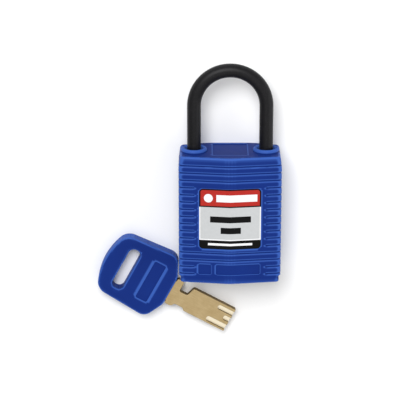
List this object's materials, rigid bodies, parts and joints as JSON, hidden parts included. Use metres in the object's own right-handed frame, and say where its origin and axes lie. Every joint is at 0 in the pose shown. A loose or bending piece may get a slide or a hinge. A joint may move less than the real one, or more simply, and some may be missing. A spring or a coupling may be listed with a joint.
{
  "type": "safety padlock",
  "caption": "Compact lockout padlock with a ribbed blue plastic body, black plastic shackle, recessed labels and a lock mechanism, lying beside its key.",
  "frame": {"origin": "centre of the body's flat back, in the plane of the surface that the padlock and its key lie on", "axes": "+X across the body, +Y along it towards the shackle, +Z out of the labelled front"},
  "size_m": [0.0637, 0.0995, 0.02],
  "materials": {
    "blue_nylon": "moulded satin with a fine grain",
    "black_polymer": "moulded satin",
    "label_film": "laminated film with printed bands and no lettering",
    "write_on_film": "matt film to write on",
    "zinc_casting": "dull cast zinc",
    "bright_steel": "ground and plated",
    "spring_steel": "drawn wire, lightly oiled",
    "lock_brass": "machined",
    "key_brass": "stamped and milled, lightly tarnished"
  },
  "bodies": {
    "case": {"body_shell": "blue_nylon", "bottom_cap": "black_polymer", "lock_core": "zinc_casting", "front_label": "label_film", "rear_label": "write_on_film", "retaining_pin": "bright_steel", "case_screw": "bright_steel", "cylinder_sleeve": "lock_brass", "sleeve_pin": "bright_steel", "shackle_spring": "spring_steel"},
    "shackle": {"shackle": "black_polymer", "spring_cup": "bright_steel"},
    "plug": {"cylinder_plug": "lock_brass", "plug_clip": "spring_steel", "actuator_cam": "bright_steel", "slider_spring_1": "spring_steel", "slider_spring_2": "spring_steel", "slider_spring_3": "spring_steel"},
    "ball_left": {"ball_left": "bright_steel"},
    "ball_right": {"ball_right": "bright_steel"},
    "slider_1": {"key_slider_1": "lock_brass"},
    "slider_2": {"key_slider_2": "lock_brass"},
    "slider_3": {"key_slider_3": "lock_brass"},
    "key": {"key_bow": "blue_nylon", "key_blade": "key_brass"}
  },
  "joints": [
    {"name": "plug_turn", "type": "hinge", "parent": "case", "child": "plug", "pos_m": [0, 0, 0.01], "axis": [0, 1, 0], "range_deg": [0, 90]},
    {"name": "shackle_lift", "type": "slide", "parent": "case", "child": "shackle", "axis": [0, 1, 0], "range_m": [0, 0.0131], "deforming": ["shackle_spring"]},
    {"name": "ball_left_slide", "type": "slide", "parent": "case", "child": "ball_left", "axis": [1, 0, 0], "range_m": [0, 0.0034]},
    {"name": "ball_right_slide", "type": "slide", "parent": "case", "child": "ball_right", "axis": [-1, 0, 0], "range_m": [0, 0.0034]},
    {"name": "slider_1_push", "type": "slide", "parent": "plug", "child": "slider_1", "axis": [0, 1, 0], "range_m": [0, 0.0072], "stiffness_N_per_m": 40, "deforming": ["slider_spring_1"]},
    {"name": "slider_2_push", "type": "slide", "parent": "plug", "child": "slider_2", "axis": [0, 1, 0], "range_m": [0, 0.0072], "stiffness_N_per_m": 40, "deforming": ["slider_spring_2"]},
    {"name": "slider_3_push", "type": "slide", "parent": "plug", "child": "slider_3", "axis": [0, 1, 0], "range_m": [0, 0.0072], "stiffness_N_per_m": 40, "deforming": ["slider_spring_3"]},
    {"name": "key_lift", "type": "slide", "parent": "case", "child": "key", "axis": [0, 0, 1], "range_m": [0, 0.03]}
  ],
  "couplings": [
    {"joint": "shackle_lift", "follows": "plug_turn", "m_per_rad": 0.008276},
    {"joint": "ball_left_slide", "follows": "plug_turn", "m_per_rad": 0.0021327},
    {"joint": "ball_right_slide", "follows": "plug_turn", "m_per_rad": 0.0021327}
  ]
}
